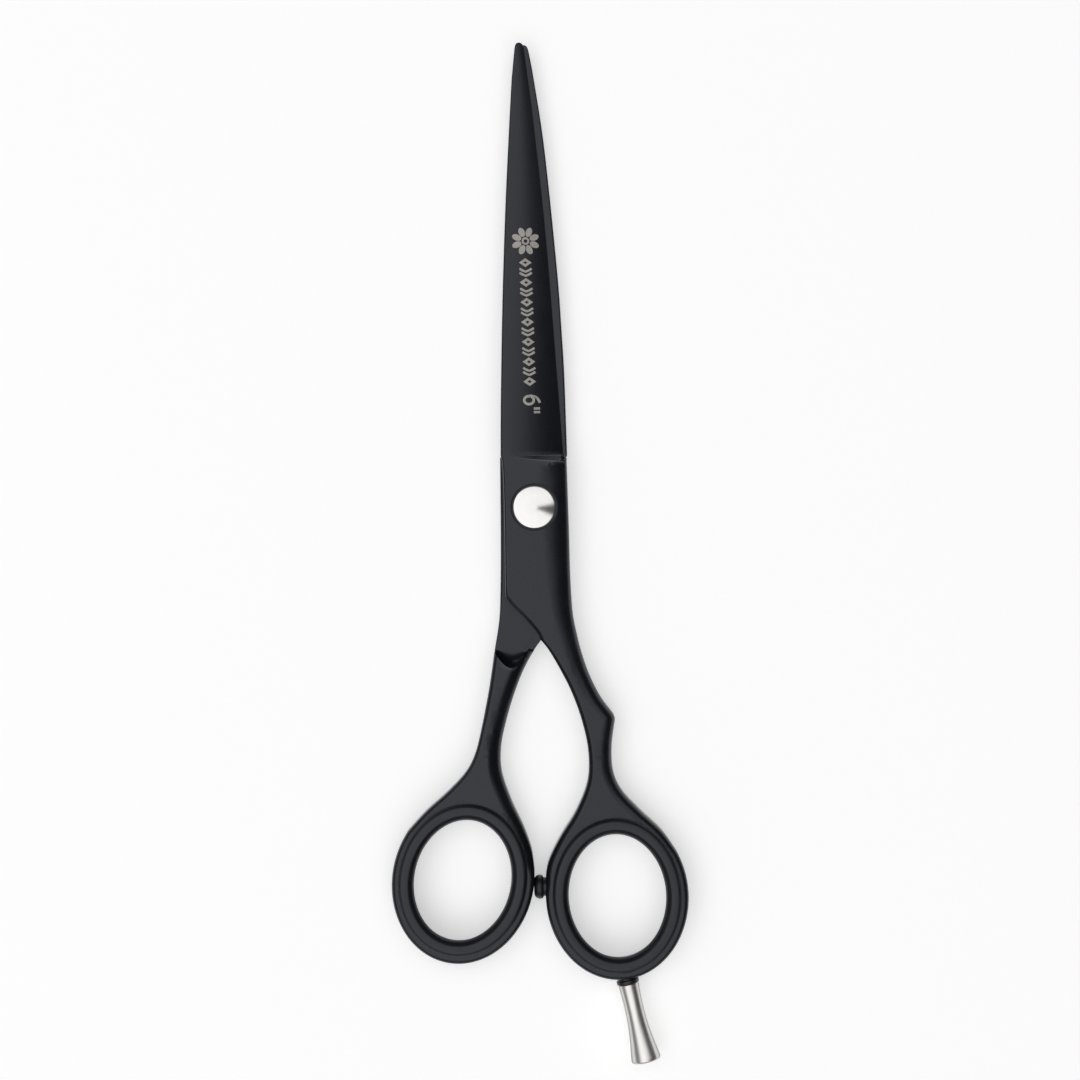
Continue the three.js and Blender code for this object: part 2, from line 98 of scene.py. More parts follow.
# Outline points of the finger half, seen from above
FINGER = {
    "edge": [(4.95, 8.4), (4.46, 17.3), (3.04, 43.4), (1.45, 62.9), (0.25, 74.5)],
    "tip": [(0.25, 74.5), (0.12, 75.1), (-0.3, 75.44), (-0.8, 75.4), (-1.12, 75.05), (-1.27, 74.4)],
    "spine": [
        (-1.27, 74.4), (-1.66, 71.1), (-2.02, 67.4), (-3.32, 50), (-4.26, 33.8), (-4.95, 17.6),
        (-5.22, 8.4),
    ],
    "left": [(-5.22, 8.4), (-4.97, 6.9), (-4.88, 3), (-4.9, -3), (-5.05, -13.6)],
    "crotch": [
        (-5.05, -13.6), (-4.97, -14.4), (-3.95, -15.82), (-2.02, -17.82), (-0.1, -20.2), (0.55, -21.55),
    ],
    "inner": [
        (0.55, -21.55), (1.77, -23.2), (3.69, -26.5), (5.4, -30.2), (6.87, -34.7), (7.78, -39.6),
        (7.55, -44.5), (5.57, -49.3), (3, -53.3), (1.15, -56.8), (0.42, -59.2), (0.2, -61.5),
    ],
    "outer_low": [
        (21.45, -56.3), (19.2, -52.9), (15.8, -49.6), (12.9, -46.3), (11.54, -43), (11.42, -38.9),
        (12.03, -34.9),
    ],
    "outer_high": [
        (12.03, -34.9), (11.85, -33.9), (9.9, -31.1), (8.15, -27.4), (6.95, -23.7), (6.14, -20.1),
        (5.65, -16.8), (5.44, -11), (5.42, -3), (5.43, 7.8),
    ],
    "heel": [(5.43, 7.8), (4.95, 8.4)],
}
# The thumb half, seen from above as it lies in the shears
THUMB = {
    "edge": [(-4.55, 8.95), (-4.15, 17.3), (-2.75, 43.4), (-1.2, 62.9), (0, 74.3)],
    "tip": [
        (0, 74.3), (0.02, 74.85), (0.16, 75.1), (0.4, 75.1), (0.72, 74.88), (0.93, 74.45),
        (1.08, 73.8),
    ],
    "spine": [(1.08, 73.8), (1.78, 69.4), (3.2, 58), (4.72, 38.5), (5.22, 28), (5.45, 21), (5.56, 8.4)],
    "left": [(5.56, 8.4), (5.2, 6.9), (5.1, 3), (5.1, -3), (4.95, -13)],
    "crotch": [(4.95, -13), (4.72, -14.2), (3.9, -15.5), (2.79, -17), (1.5, -19.5), (0.55, -21.55)],
    "inner": [
        (0.55, -21.55), (-0.67, -23.2), (-2.61, -26.4), (-4.25, -30.4), (-5.54, -34.4), (-6.5, -38.6),
        (-6.5, -42.7), (-5.07, -47.4), (-3.2, -51.7), (-1.95, -55.4), (-1.42, -58.6),
    ],
    "outer_low": [
        (-21.7, -51.9), (-18.7, -48.7), (-15, -45.55), (-12.02, -42.4), (-10.41, -39.2), (-9.12, -34.3),
    ],
    "outer_high": [
        (-9.12, -34.3), (-7.95, -28.8), (-6.96, -23), (-6.11, -18.2), (-5.86, -13.3), (-5.6, -5),
        (-5.36, 8.15),
    ],
    "heel": [(-5.36, 8.15), (-4.55, 8.95)],
}

# How far a shank's edges lie outside these points: at a stretch's first ones, between, and at its last ones
FINGER_GROWTH = {
    "inner": ([0, 0], 0.1, [0.05, 0]), "outer_low": ([0, 0.06], 0.1, []), "outer_high": ([], 0.1, [0]),
}
THUMB_GROWTH = {
    **FINGER_GROWTH, "outer_low": ([0, 0.06], 0.08, []), "outer_high": ([], 0.08, [0, 0, 0]),
}

# Edge rounding along each stretch: height along Y, then width and drop on the outer and on the inner face
SHARP = (0.08, 0.06)
ROUNDING = {
    "edge": [(0, 0.06, 0.04, 0.04, 0.02)],
    "tip": [(0, 0.18, 0.16, 0.06, 0.05)],
    "spine": [(HEEL_Y, 0.45, 0.35, 0.3, 0.26), (50, 0.42, 0.33, 0.3, 0.26), (74, 0.22, 0.2, 0.25, 0.22)],
    "left": [(0, 0.42, 0.42, *SHARP)],
    "crotch": [(0, 0.5, 0.42, *SHARP)],
    "inner": [
        (-60, 0.95, 0.95, 0.95, 0.95), (-52, 0.85, 0.9, 1.5, 1.5), (-42, 0.75, 0.75, 2.0, 1.9),
        (-27.4, 0.7, 0.7, 2.0, 1.9), (-24, 0.6, 0.6, 1.8, 1.9), (-22.5, 0.5, 0.5, 1.4, 1.6),
    ],
    "ring": [(0, 0.8, 0.9, 0.8, 0.9)],
    "outer_low": [(-57, 1.0, 1.0, 0.95, 0.9), (-50, 1.4, 1.4, 0.9, 0.8), (-42, 1.9, 1.8, 0.8, 0.75)],
    "outer_high": [
        (-34, 1.75, 1.7, 0.9, 0.8), (-26, 2.15, 1.9, 0.9, 0.8), (-23.3, 2.4, 1.9, 0.9, 0.8),
        (-20.5, 2.7, 1.9, *SHARP), (-14, 3.4, 1.9, 0.5, 0.35), (-3, 4.4, 1.9, 0.7, 0.45),
        (5.5, 4.8, 1.8, 0.7, 0.45), (7.6, 4.2, 1.5, *SHARP),
    ],
    "heel": [(7.2, 0.5, 0.5, *SHARP), (HEEL_Y, *SHARP, *SHARP)],
}
ROUND_EDGE = 2.0  # 1 is a plain bevel, and more is flatter inside and steeper outside
EDGE_POWER = {"crotch": 1, "inner": 1.5, "outer_high": 1.85}
HOLE_ROUNDING = (0.12, 0.12, 0.12, 0.12, ROUND_EDGE)
ROUNDING_ANGLES = np.radians([12, 24, 37, 50, 63, 76, 90])
PAST_ROUNDING = 1.12  # share of a rounding's width at which the plain grid starts
LOOP_STEP = 0.3
GRID_STEP = 0.9


def spline(points, step=LOOP_STEP):
    """Points a step apart on the smooth curve through the given ones."""
    knots = np.array(points, float)
    padded = np.vstack([knots[:1], knots, knots[-1:]])
    share = np.linspace(0, 1, 24, endpoint=False)[:, None]
    dense = []
    for a, b, c, d in zip(padded, padded[1:], padded[2:], padded[3:]):
        bend = (2 * a - 5 * b + 4 * c - d) * share**2
        twist = (3 * b - a - 3 * c + d) * share**3
        dense.append(0.5 * (2 * b + (c - a) * share + bend + twist))
    return even(np.vstack(dense + [knots[-1:]]), step)


def even(line, step):
    """The same line with its points an equal step apart."""
    run = np.r_[0, np.cumsum(np.linalg.norm(np.diff(line, axis=0), axis=1))]
    places = np.linspace(0, run[-1], max(2, round(run[-1] / step) + 1))
    return np.column_stack([np.interp(places, run, line[:, k]) for k in range(line.shape[1])])


def circle(radius, count, clockwise=False):
    angles = np.linspace(0, 2 * math.pi, count, endpoint=False)
    if clockwise:
        angles = -angles
    return radius * np.column_stack([np.cos(angles), np.sin(angles)])


def keyed_circle(radius, flat, count, clockwise=False):
    """A circle with two flats across X."""
    points = circle(radius, count, clockwise)
    across = np.abs(points[:, 0])
    return points * np.minimum(1, flat / np.maximum(across, 1e-6))[:, None]


def ring_points(ring, radius, angles):
    """Points of a ring's ellipse, in place."""
    lean = math.radians(ring["lean"])
    local = radius * np.column_stack([np.cos(angles), ring["ratio"] * np.sin(angles)])
    turn = np.array([[math.cos(lean), -math.sin(lean)], [math.sin(lean), math.cos(lean)]])
    return local @ turn.T + (ring["x"], ring["y"])


def ring_angle(ring, point):
    """The angle at which a ring's ellipse passes nearest to a point."""
    lean = math.radians(ring["lean"])
    x, y = point[0] - ring["x"], point[1] - ring["y"]
    across = x * math.cos(lean) + y * math.sin(lean)
    along = y * math.cos(lean) - x * math.sin(lean)
    return math.atan2(along / ring["ratio"], across)


def outward(loop):
    """Outward direction at each point of a loop, long enough at a corner to keep the sides' distance."""
    ahead = np.roll(loop, -1, 0) - loop
    ahead /= np.linalg.norm(ahead, axis=1)[:, None]
    after = np.column_stack([ahead[:, 1], -ahead[:, 0]])
    middle = after + np.roll(after, 1, 0)
    middle /= np.linalg.norm(middle, axis=1)[:, None]
    return middle / np.maximum((middle * after).sum(1), 0.4)[:, None]


def nearest(points, loops, widths):
    """Distance of each point to the nearest loop, and the rounding there."""
    here, ahead, behind = np.vstack(loops), turned_by_one(loops, -1), turned_by_one(loops, 1)
    width = np.vstack(widths)
    width_ahead, width_behind = turned_by_one(widths, -1), turned_by_one(widths, 1)
    tree = KDTree(len(here))
    for index, (x, y) in enumerate(here):
        tree.insert((x, y, 0), index)
    tree.balance()
    close = np.array([tree.find((x, y, 0))[1] for x, y in points], int)
    best, rounding = np.full(len(points), np.inf), np.zeros((len(points), width.shape[1]))
    for other, other_width in ((ahead, width_ahead), (behind, width_behind)):
        side = (other - here)[close]
        away = points - here[close]
        share = np.clip((away * side).sum(1) / np.maximum((side**2).sum(1), 1e-12), 0, 1)[:, None]
        gap = np.linalg.norm(away - share * side, axis=1)
        nearer = gap < best
        mixed = width[close] * (1 - share) + other_width[close] * share
        best[nearer], rounding[nearer] = gap[nearer], mixed[nearer]
    return best, rounding


def turned_by_one(loops, step):
    return np.vstack([np.roll(loop, step, 0) for loop in loops])


def within(points, loop):
    """Which points lie inside a closed loop."""
    result = np.zeros(len(points), bool)
    for (x0, y0), (x1, y1) in zip(loop, np.roll(loop, -1, 0)):
        if y0 == y1:
            continue
        crosses = (points[:, 1] < y0) != (points[:, 1] < y1)
        at = x0 + (points[:, 1] - y0) * (x1 - x0) / (y1 - y0)
        result ^= crosses & (points[:, 0] < at)
    return result


class Shell:
    """Vertices and faces of one closed mesh, in millimetres."""

    def __init__(self):
        self.points = []
        self.faces = []

    def add(self, points):
        start = len(self.points)
        self.points.extend(map(tuple, points))
        return list(range(start, len(self.points)))

    def level(self, loop, height):
        """Adds a loop's points at one height, or each at its own."""
        return self.add(np.column_stack([loop, np.broadcast_to(height, len(loop))]))

    def bridge(self, upper, lower):
        for a, b, c, d in zip(upper, upper[1:] + upper[:1], lower[1:] + lower[:1], lower):
            self.faces.append((a, d, c, b))


def linked(name, data):
    made = bpy.data.objects.new(name, data)
    bpy.context.scene.collection.objects.link(made)
    return made


def build(name, shell, material, body, replaces=(), place=None, sharp=32, edge_highlight=None):
    """A smooth-shaded object from a shell, riding on a CAD body. The last argument is each vertex's share of
    painted edge highlight, 0 to 1.
    """
    mesh = bpy.data.meshes.new(name)
    points = np.array(shell.points) * MM
    mesh.from_pydata([tuple(p) for p in points], [], shell.faces)
    mesh.update()
    mesh.materials.append(material)
    if edge_highlight is not None:
        mesh.attributes.new("edge_highlight", "FLOAT", "POINT").data.foreach_set("value", edge_highlight)
    mesh.shade_smooth()
    mesh.set_sharp_from_angle(angle=math.radians(sharp))
    made = linked(name, mesh)
    if place is not None:
        made.matrix_world = place
    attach(made, body)
    if replaces:
        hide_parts(*replaces)


def rounded_height(points, height, drop_sign, loops, widths):
    """Height at each point: the plain face, less the rounding along its outline and round its holes."""
    drop = 0
    for group in (slice(0, 1), slice(1, None)):
        distance, rounding = nearest(points, loops[group], widths[group])
        share = 1 - np.minimum(distance / rounding[:, 0], 1)
        power = rounding[:, 2]
        drop = drop + rounding[:, 1] * (1 - (1 - share**power) ** (1 / power))
    plain = height(points[:, 0], points[:, 1])
    if drop_sign < 0:
        # On the shank, only what stands over the flat inner face is rounded
        standing = np.maximum(INNER - plain, SHARP[1])
        drop = np.where(points[:, 1] < SHANK_Y, np.minimum(drop, standing), drop)
    return plain - drop_sign * drop


def face(shell, loops, widths, height, up, grid, creases):
    """Adds one face of a relief, triangles inside the loops at their heights. Returns its loops' vertices."""
    edges, start = [], 0
    for loop in loops:
        count = len(loop)
        edges += [(start + i, start + (i + 1) % count) for i in range(count)]
        start += count
    extra = []
    for loop, width in zip(loops, widths):
        inward = -outward(loop)
        for share in [*(1 - np.cos(ROUNDING_ANGLES)), PAST_ROUNDING]:
            depth = width[:, 0] * share
            row = loop + inward * depth[:, None]
            distance, _ = nearest(row, loops, widths)
            extra.append(row[distance > 0.97 * depth - 1e-4])
    distance, rounding = nearest(grid, loops, widths)
    inside = within(grid, loops[0]) & (distance > PAST_ROUNDING * rounding[:, 0] + 0.2)
    extra.append(grid[inside])
    points = np.vstack([*loops, *extra])
    for crease in creases:
        distance, _ = nearest(crease, loops, widths)
        kept = crease[within(crease, loops[0]) & (distance > 0.1)]
        edges += [(len(points) + i, len(points) + i + 1) for i in range(len(kept) - 1)]
        points = np.vstack([points, kept])
    flat, _, triangles, origins, _, _ = delaunay_2d_cdt([Vector(p) for p in points], edges, [], 0, 1e-6)
    flat = np.array([(p.x, p.y) for p in flat])
    middles = flat[np.array(triangles)].mean(1)
    solid = within(middles, loops[0])
    for hole in loops[1:]:
        solid &= ~within(middles, hole)
    heights = rounded_height(flat, height, 1 if up else -1, loops, widths)
    made = shell.level(flat, heights)
    for keep, (a, b, c) in zip(solid, triangles):
        if not keep:
            continue
        (ax, ay), (bx, by), (cx, cy) = flat[a], flat[b], flat[c]
        turns_left = (bx - ax) * (cy - ay) > (by - ay) * (cx - ax)
        order = (a, b, c) if turns_left == up else (a, c, b)
        shell.faces.append(tuple(made[i] for i in order))
    place = {source: k for k, sources in enumerate(origins) for source in sources}
    indices, start = [], 0
    for loop in loops:
        indices.append([made[place[start + i]] for i in range(len(loop))])
        start += len(loop)
    return indices


def drop_unused(shell):
    """Drops vertices that no face uses."""
    used = sorted({i for f in shell.faces for i in f})
    order = {old: new for new, old in enumerate(used)}
    shell.points = [shell.points[i] for i in used]
    shell.faces = [tuple(order[i] for i in f) for f in shell.faces]


# The two halves, both shaped as an upper half: spine on the left, outer face up


def stretch_rounding(name, curve):
    table = np.array(ROUNDING[name], float)
    values = [np.interp(curve[:, 1], table[:, 0], table[:, k]) for k in range(1, 5)]
    return np.column_stack([*values, np.full(len(curve), EDGE_POWER.get(name, ROUND_EDGE))])


def half_outline(lines, ring):
    """The loop round a half, with the rounding at each point."""
    start = ring_angle(ring, lines["inner"][-1])
    end = ring_angle(ring, lines["outer_low"][0])
    span = (end - start) % (2 * math.pi)
    count = round(span * ring["radius"] * 1.08 / LOOP_STEP)
    ends = ring_points(ring, ring["radius"], np.array([start, end]))
    lines = {**lines}
    lines["inner"] = [*lines["inner"][:-1], ends[0]]
    lines["outer_low"] = [ends[1], *lines["outer_low"][1:]]
    stretches = {name: spline(lines[name]) for name in ("edge", "tip", "spine", "left", "crotch", "inner")}
    stretches["ring"] = ring_points(ring, ring["radius"], start + span * np.linspace(0, 1, count))
    stretches |= {name: spline(lines[name]) for name in ("outer_low", "outer_high", "heel")}
    for name in ("inner", "outer_high"):
        fine = spline(lines[name], LOOP_STEP / 3)
        near_scoop = np.abs(fine[:, 1] - SCOOP["y"] - 1.5) < 3.5
        stretches[name] = fine[near_scoop | (np.arange(len(fine)) % 3 == 0)]
    points = np.vstack(list(stretches.values()))
    rounding = np.vstack([stretch_rounding(name, curve) for name, curve in stretches.items()])
    apart = np.linalg.norm(points - np.roll(points, 1, 0), axis=1) > 0.06
    points, rounding = points[apart], rounding[apart]
    smooth = sum(np.roll(rounding, k, 0) for k in range(-3, 4)) / 7
    return points, smooth


def edge_lines(lines):
    """X of the spine and of the cutting edge as functions of Y."""
    spine = spline(lines["spine"])[::-1]
    cutting = spline(lines["edge"])
    return (
        lambda y: np.interp(y, spine[:, 1], spine[:, 0]),
        lambda y: np.interp(y, cutting[:, 1], cutting[:, 0]),
    )


# The step between the flat pivot plate and the ground blade, a shallow ledge that widens to the right
LEDGE_X = -3.25  # where it starts
LEDGE_DROP = 0.26
LEDGE_SHARE = 0.93  # of the step's width; the rest falls steeply to the blade


def shoulder(x):
    """Lower and upper Y of the step."""
    across = np.clip((x - LEDGE_X) / 8.6, 0, 1)
    return HEEL_Y - 0.1 - np.maximum(0.25, 1.15 * across**0.6), np.full_like(x, HEEL_Y)


def outer_face(lines):
    spine_x, edge_x = edge_lines(lines)

    def height(x, y):
        on_blade = np.maximum(y, HEEL_Y)
        left, right = spine_x(on_blade), edge_x(on_blade)
        across = np.clip((right - x) / np.maximum(right - left, 0.6), 0, 1)
        along = np.clip((y - HEEL_Y) / (TIP_Y - HEEL_Y), 0, 1)
        thick = SPINE_THICKNESS[0] + (SPINE_THICKNESS[1] - SPINE_THICKNESS[0]) * along
        blade = INNER + EDGE_THICKNESS + (thick - EDGE_THICKNESS) * (1 - (1 - across) ** GRIND_POWER)
        down = np.clip((-14 - y) / 16, 0, 1)
        plate = PLATE_TOP - (PLATE_TOP - HANDLE_TOP) * down**2 * (3 - 2 * down)
        low, high = shoulder(x)
        share = np.clip((y - low) / (high - low), 0, 1)
        deep = LEDGE_DROP * np.clip((x - LEDGE_X) / 3.5, 0, 1)
        ledge = np.minimum(deep * np.minimum(share / LEDGE_SHARE, 1), plate - blade)
        fall = np.clip((share - LEDGE_SHARE) / (1 - LEDGE_SHARE), 0, 1)
        return plate - ledge - (plate - ledge - blade) * fall

    return height


def scoop_line(x):
    """Y of the lip where a shank gets its full thickness, and how wide the hollow before it is."""
    line = np.minimum(SCOOP["y"] + SCOOP["bend"] * (x - SCOOP["x"]) ** 2, SCOOP["top"])
    return line, np.clip(SCOOP["start"] - line, *SCOOP["width"])


def inner_face(lines):
    spine_x, edge_x = edge_lines(lines)

    def height(x, y):
        left, right = spine_x(y), edge_x(y)
        across = np.clip((right - RIDE_LINE - x) / np.maximum(right - left - RIDE_LINE - 0.35, 0.3), 0, 1)
        starts = np.clip((y - 11) / 3, 0, 1) * np.clip((73 - y) / 6, 0, 1)
        hollow = HOLLOW_DEPTH * np.sin(math.pi * across) ** 0.7 * starts
        line, width = scoop_line(x)
        climb = np.clip(1 - (y - line) / width, 0, 1)
        rise = (INNER - HANDLE_BOTTOM) * climb**SCOOP_POWER
        return INNER + hollow - rise

    return height


SCOOP_ROWS = (0, 0.1, 0.22, 0.35, 0.48, 0.6, 0.71, 0.81, 0.89, 0.95, 0.985, 1.04, 1.1)
SCOOP_STEP = 0.14


def half_grid(lines):
    """Places for a half's inner vertices: along the blade's width, and a plain grid elsewhere."""
    spine_x, edge_x = edge_lines(lines)
    blade = []
    for y in np.arange(HEEL_Y + 0.7, TIP_Y, 1.1):
        left, right = spine_x(y), edge_x(y)
        count = max(4, round((right - left) / 0.7))
        blade += [(x, y) for x in np.linspace(left, right, count + 1)[1:-1]]
    x, y = np.meshgrid(np.arange(-30, 30, GRID_STEP), np.arange(-80, -17, GRID_STEP))
    fine_y = np.arange(-17, HEEL_Y - 1.5, GRID_STEP / 2)
    fine_x, fine_y = np.meshgrid(np.arange(-6, 7, GRID_STEP / 2), fine_y)
    plain = np.column_stack([np.r_[x.ravel(), fine_x.ravel()], np.r_[y.ravel(), fine_y.ravel()]])
    scoop = []
    for climb in SCOOP_ROWS:
        places = np.arange(1.5, 8.5, SCOOP_STEP)
        line, width = scoop_line(places)
        scoop.append(np.column_stack([places, line + width * (1 - climb)]))
    return np.vstack([blade, plain]), np.vstack(scoop)


RIDGE_SHARES = (-0.12, 0, 0.12, 0.5, 0.8, LEDGE_SHARE, 1)  # rows along the step before the blade


def half(node, lines, ring, flange, chain, turned_over, body):
    """One half of the shears. The chain leads from its outer face's hole to its inner face's."""
    shell = Shell()
    outline, rounding = half_outline(lines, ring)
    bore = ring_points(flange, flange["radius"], -np.linspace(0, 2 * math.pi, 240, endpoint=False))
    bore = bore + outward(bore) * BORE_INSET
    upper_hole, lower_hole = chain[0][0], chain[-1][0]
    blade_grid, scoop_grid = half_grid(lines)
    x = np.arange(-2.9, 5.6, 0.3)
    low, high = shoulder(x)
    ridges = [np.column_stack([x, low + (high - low) * share]) for share in RIDGE_SHARES]
    places = np.arange(1.3, 8.5, SCOOP_STEP)
    lip = np.column_stack([places, scoop_line(places)[0]])
    sides = []
    for up in (True, False):
        columns = [0, 1, 4] if up else [2, 3, 4]
        hole = upper_hole if up else lower_hole
        loops = [outline, hole, bore]
        plain = np.array(HOLE_ROUNDING)[columns]
        widths = [rounding[:, columns], *(np.tile(plain, (len(loop), 1)) for loop in loops[1:])]
        height = outer_face(lines) if up else inner_face(lines)
        grid = blade_grid if up else np.vstack([blade_grid, scoop_grid])
        sides.append(face(shell, loops, widths, height, up, grid, ridges if up else [lip]))
    top, bottom = sides
    shell.bridge(top[0], bottom[0])
    shell.bridge(top[2], bottom[2])
    previous = top[1]
    for points, level in chain[1:-1]:
        current = shell.level(points, level)
        shell.bridge(previous, current)
        previous = current
    shell.bridge(previous, bottom[1])
    drop_unused(shell)
    # painted highlight: a lighter coating along the step's edges and the hollow's lip
    edge_highlight = painted_edge_highlight(np.array(shell.points))
    if turned_over:
        shell.points = [(-x, y, 2 * RIDE_PLANE - z) for x, y, z in shell.points]
    build(node + "_body", shell, BLACK_COATING, body, [node], edge_highlight=edge_highlight)


def painted_edge_highlight(points):
    """Painted highlight at each point: a lighter coating along both edges of the step before the blade and
    along the hollow's lip.
    """
    x, y, z = points.T
    low, high = shoulder(x)
    lines = (low, low + (high - low) * LEDGE_SHARE)
    close = sum(np.clip(1 - np.abs(y - line) / (0.13 * (high - low)), 0, 1) for line in lines)
    step = close * np.clip((x + 3) / 3, 0, 1) * (x < 5) * (z > INNER + 0.3)
    line, width = scoop_line(x)
    lip = np.clip(1 - np.abs(y - line + 0.04 * width) / (0.1 * width), 0, 1) * (z < HANDLE_BOTTOM + 0.3)
    lip = lip * np.clip((x - 2) / 0.5, 0, 1) * np.clip((6.8 - x) / 0.5, 0, 1)
    return step + 0.5 * lip


HOLE_POINTS = 96


def finger_chain():
    recess = circle(RECESS_RADIUS, HOLE_POINTS, clockwise=True)
    key = keyed_circle(*NECK_HOLE, HOLE_POINTS, clockwise=True)
    return [(recess, None), (recess, RECESS_FLOOR), (key, RECESS_FLOOR), (key, None)]


def thumb_chain():
    pocket = circle(NUT_POCKET[0], HOLE_POINTS, clockwise=True)
    bush = circle(BUSH_HOLE_RADIUS, HOLE_POINTS, clockwise=True)
    washer = circle(WASHER_POCKET[0], HOLE_POINTS, clockwise=True)
    upper = [(pocket, None), (pocket, NUT_POCKET[1]), (bush, NUT_POCKET[1])]
    return [*upper, (bush, WASHER_POCKET[1]), (washer, WASHER_POCKET[1]), (washer, None)]


def grown(lines, growth):
    """The lines with a shank's edges moved to the right of their run, which is outward."""
    lines = {**lines}
    for name, (first, between, last) in growth.items():
        ahead = np.gradient(np.array(lines[name], float), axis=0)
        ahead /= np.linalg.norm(ahead, axis=1)[:, None]
        amounts = np.r_[first, np.full(len(ahead) - len(first) - len(last), between), last]
        lines[name] = lines[name] + np.column_stack([ahead[:, 1], -ahead[:, 0]]) * amounts[:, None]
    lines["outer_high"][0] = lines["outer_low"][-1]
    return lines


def mirrored(lines):
    return {name: [(-x, y) for x, y in points] for name, points in lines.items()}


# Finishes


def add(tree, kind, settings=None, **inputs):
    """A shader node with its settings, values and links."""
    made = tree.nodes.new(kind)
    for key, value in (settings or {}).items():
        setattr(made, key, value)
    for key, value in inputs.items():
        socket = made.inputs[key.replace("_", " ")]
        if isinstance(value, bpy.types.NodeSocket):
            tree.links.new(value, socket)
        else:
            socket.default_value = value
    return made


def maths(tree, operation, *values):
    made = add(tree, "ShaderNodeMath", {"operation": operation})
    for socket, value in zip(made.inputs, values):
        if isinstance(value, bpy.types.NodeSocket):
            tree.links.new(value, socket)
        else:
            socket.default_value = value
    return made.outputs[0]


def finish(name, roughness, metallic=0.0, specular=0.5, anisotropic=0.0):
    material = bpy.data.materials.new(name)
    material.use_nodes = True
    shader = material.node_tree.nodes["Principled BSDF"]
    shader.inputs["Roughness"].default_value = roughness
    shader.inputs["Metallic"].default_value = metallic
    shader.inputs["Specular IOR Level"].default_value = specular
    shader.inputs["Anisotropic"].default_value = anisotropic
    return material, material.node_tree, shader


def noise(tree, scale, detail=3.0, stretch=(1, 1, 1), roughness=0.5):
    """A noise value in the object's own metres, stretched along its axes."""
    place = add(tree, "ShaderNodeTexCoord").outputs["Object"]
    mapped = add(tree, "ShaderNodeMapping", Vector=place, Scale=stretch).outputs["Vector"]
    made = add(tree, "ShaderNodeTexNoise", Vector=mapped, Scale=scale, Detail=detail, Roughness=roughness)
    return made.outputs["Fac"]


def between(tree, value, low, high, start=0.3, end=0.7):
    scaled = {"From_Min": start, "From_Max": end, "To_Min": low, "To_Max": high}
    return add(tree, "ShaderNodeMapRange", Value=value, **scaled).outputs["Result"]


def shades(tree, value, *stops):
    """A colour that runs through the stops as the value goes from 0.3 to 0.7."""
    ramp = add(tree, "ShaderNodeValToRGB", Fac=value)
    elements = ramp.color_ramp.elements
    while len(elements) < len(stops):
        elements.new(0.5)
    for k, stop in enumerate(stops):
        elements[k].position = 0.3 + 0.4 * k / (len(stops) - 1)
        elements[k].color = (*stop, 1)
    return ramp.outputs["Color"]


def bump(tree, shader, height, strength, depth):
    made = add(tree, "ShaderNodeBump", Height=height, Strength=strength, Distance=depth * MM)
    tree.links.new(made.outputs["Normal"], shader.inputs["Normal"])


def tinted(tree, shader, value, *stops):
    tree.links.new(shades(tree, value, *stops), shader.inputs["Base Color"])


def rough(tree, shader, value, low, high):
    tree.links.new(between(tree, value, low, high), shader.inputs["Roughness"])


COOL_GLOSS = (0.87, 0.9, 1, 1)
# painted highlight colour, a lighter coating where the edges catch the light
PAINTED_HIGHLIGHT_TINT = (0.12, 0.12, 0.135, 1)


def black_coating():
    material, tree, shader = finish("black_coating", 0.27, specular=0.52)
    shader.inputs["Specular Tint"].default_value = COOL_GLOSS
    mottle = noise(tree, 260, 4)
    coated = shades(tree, mottle, (0.0065, 0.007, 0.0095), (0.0085, 0.009, 0.012))
    # the painted edge highlight lightens the coating towards its colour
    edge_highlight = add(tree, "ShaderNodeAttribute", {"attribute_name": "edge_highlight"}).outputs["Fac"]
    blend = add(tree, "ShaderNodeMix", {"data_type": "RGBA"}, Factor=edge_highlight)
    tree.links.new(coated, blend.inputs["A"])
    blend.inputs["B"].default_value = PAINTED_HIGHLIGHT_TINT
    tree.links.new(blend.outputs["Result"], shader.inputs["Base Color"])
    rough(tree, shader, mottle, 0.24, 0.3)
    bump(tree, shader, noise(tree, 7000, 2), 0.12, 0.01)
    return material


def black_rubber():
    material, tree, shader = finish("black_rubber", 0.4, specular=0.55)
    shader.inputs["Specular Tint"].default_value = COOL_GLOSS
    mottle = noise(tree, 420, 3)
    tinted(tree, shader, mottle, (0.0065, 0.0068, 0.0085), (0.0095, 0.01, 0.012))
    rough(tree, shader, mottle, 0.34, 0.42)
    bump(tree, shader, noise(tree, 4200, 4), 0.2, 0.02)
    return material


def black_metal():
    material, tree, shader = finish("black_metal", 0.3, specular=0.5)
    lines = noise(tree, 5200, 2, (0.06, 0.06, 1))
    tinted(tree, shader, lines, (0.006, 0.006, 0.007), (0.012, 0.012, 0.013))
    rough(tree, shader, lines, 0.24, 0.36)
    bump(tree, shader, lines, 0.1, 0.01)
    return material


